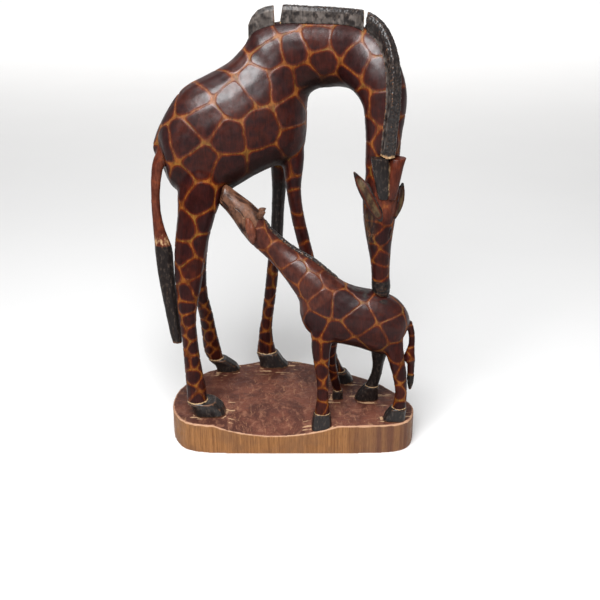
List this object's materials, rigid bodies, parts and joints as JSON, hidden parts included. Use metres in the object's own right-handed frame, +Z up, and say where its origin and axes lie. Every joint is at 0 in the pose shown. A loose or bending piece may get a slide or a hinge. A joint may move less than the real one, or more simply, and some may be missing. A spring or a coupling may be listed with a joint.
{
  "type": "carved giraffe statue",
  "caption": "Wooden carving of a mother giraffe bending her neck down in an arch over her nursing calf, on a low plinth with a sawn front and a rounded back.",
  "frame": {"origin": "centre of the plinth's flat underside", "axes": "+Z up, +X the way the mother faces, -Y out of the plinth's sawn front face"},
  "size_m": [0.1842, 0.0996, 0.3026],
  "materials": {
    "patched_wood": "dark maroon-brown stained patches between scraped orange-brown lines, waxed and polished",
    "black_stained_wood": "black stain, half matt",
    "calf_head_wood": "thinner brown stain with carved streaks, satin",
    "plinth_wood": "golden brown sawn face with upright grain, and a purple-brown stained top"
  },
  "bodies": {
    "root": {"plinth": "plinth_wood", "mother_torso": "patched_wood", "mother_neck": "patched_wood", "mother_head": "patched_wood", "mother_left_ear": "patched_wood", "mother_right_ear": "patched_wood", "mother_left_horn": "black_stained_wood", "mother_right_horn": "patched_wood", "withers_mane": "black_stained_wood", "crest_mane": "black_stained_wood", "neck_mane": "black_stained_wood", "mother_near_hind_leg": "patched_wood", "mother_far_hind_leg": "patched_wood", "mother_near_fore_leg": "patched_wood", "mother_far_fore_leg": "patched_wood", "mother_near_hind_hoof": "black_stained_wood", "mother_far_hind_hoof": "black_stained_wood", "mother_near_fore_hoof": "black_stained_wood", "mother_far_fore_hoof": "black_stained_wood", "mother_tail": "patched_wood", "mother_tail_tuft": "black_stained_wood", "calf_torso": "patched_wood", "calf_neck": "patched_wood", "calf_head": "calf_head_wood", "calf_near_ear": "calf_head_wood", "calf_far_ear": "calf_head_wood", "calf_horns": "calf_head_wood", "calf_mane": "black_stained_wood", "calf_near_hind_leg": "patched_wood", "calf_far_hind_leg": "patched_wood", "calf_near_fore_leg": "patched_wood", "calf_far_fore_leg": "patched_wood", "calf_near_hind_hoof": "black_stained_wood", "calf_far_hind_hoof": "black_stained_wood", "calf_near_fore_hoof": "black_stained_wood", "calf_far_fore_hoof": "black_stained_wood", "calf_tail": "patched_wood", "calf_tail_tuft": "black_stained_wood"}
  },
  "joints": []
}
